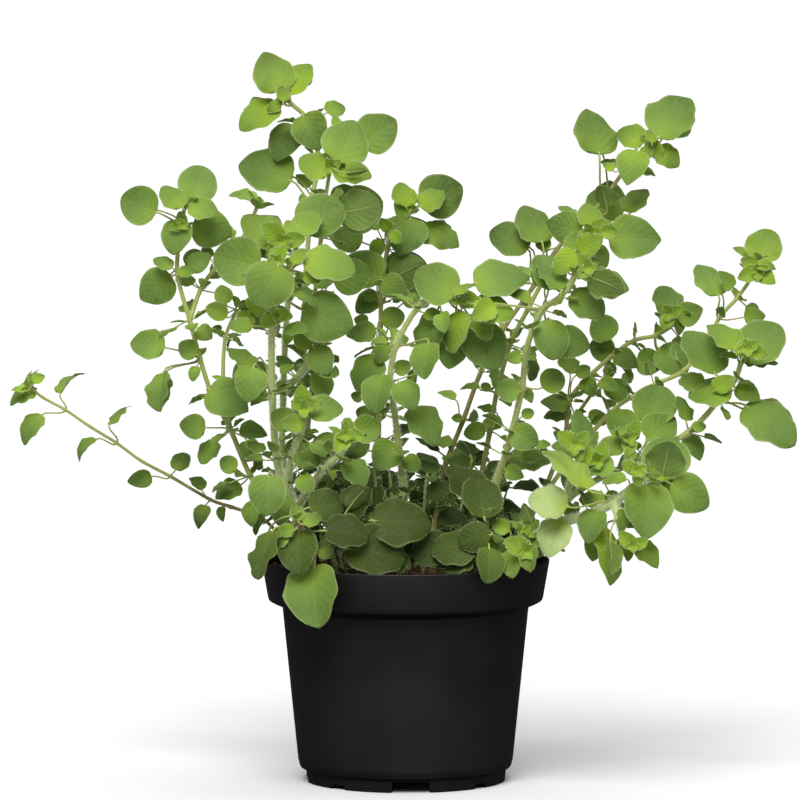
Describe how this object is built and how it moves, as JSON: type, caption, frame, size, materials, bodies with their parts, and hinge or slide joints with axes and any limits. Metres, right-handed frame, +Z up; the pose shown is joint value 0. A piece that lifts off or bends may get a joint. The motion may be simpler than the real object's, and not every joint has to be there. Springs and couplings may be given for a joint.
{
  "type": "potted oregano",
  "caption": "Oregano plant with hairy stems and rounded green leaves, spreading out of a black plastic nursery pot full of soil.",
  "frame": {"origin": "centre of the pot's underside, level with the feet that it rests on", "axes": "+Z up along the pot's axis, +X to the right as the picture shows it, along the plant's widest spread, -Y to the front"},
  "size_m": [0.3535, 0.1569, 0.327],
  "materials": {
    "pot_plastic": "satin",
    "soil": "matte",
    "leafy_stem": "matte"
  },
  "bodies": {
    "root": {"pot": "pot_plastic", "soil": "soil", "stem_left_trailing": "leafy_stem", "stem_left": "leafy_stem", "stem_hairy_pair": "leafy_stem", "stem_tallest": "leafy_stem", "stem_centre_back": "leafy_stem", "stem_centre": "leafy_stem", "stem_brown": "leafy_stem", "stem_right_inner": "leafy_stem", "stem_hairy_right": "leafy_stem", "stem_right_back": "leafy_stem", "stem_right_far": "leafy_stem", "stem_right_arched": "leafy_stem", "stem_right_front": "leafy_stem", "shoot_rim_right": "leafy_stem", "shoot_front_left": "leafy_stem", "shoot_front": "leafy_stem", "shoot_front_centre": "leafy_stem", "shoot_front_right": "leafy_stem", "shoot_centre": "leafy_stem", "shoot_back_1": "leafy_stem", "shoot_back_2": "leafy_stem", "shoot_back_3": "leafy_stem", "shoot_back_4": "leafy_stem", "shoot_back_5": "leafy_stem"}
  },
  "joints": []
}
